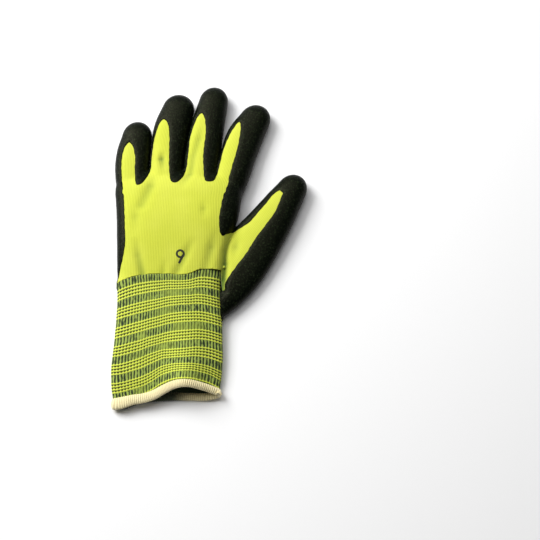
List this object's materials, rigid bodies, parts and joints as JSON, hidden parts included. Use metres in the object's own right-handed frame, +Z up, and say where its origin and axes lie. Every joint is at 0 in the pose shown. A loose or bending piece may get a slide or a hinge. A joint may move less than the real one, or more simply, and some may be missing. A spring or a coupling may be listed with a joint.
{
  "type": "high-visibility work glove",
  "caption": "Knitted high-visibility glove with a dipped latex palm and fingertips, a striped ribbed cuff and an overlocked binding, lying on its palm.",
  "frame": {"origin": "middle of the flat resting face under the palm, on the floor that the glove lies on", "axes": "+Y to the fingertips, +X to the thumb, +Z up through the back of the hand"},
  "size_m": [0.1476, 0.2597, 0.0199],
  "materials": {
    "hand_knit": "fine seamless knit of fluorescent yellow yarn, matt, with upright wales",
    "latex": "dipped black latex foam with a fine crinkled, half-matt grip surface",
    "cuff_knit": "ribbed elastic knit in fluorescent yellow with dark green stripes",
    "binding_thread": "cream overlock thread, soft and slightly fuzzy"
  },
  "bodies": {
    "root": {"knit_hand": "hand_knit", "palm_coating": "latex", "knit_cuff": "cuff_knit", "cuff_binding": "binding_thread"}
  },
  "joints": []
}
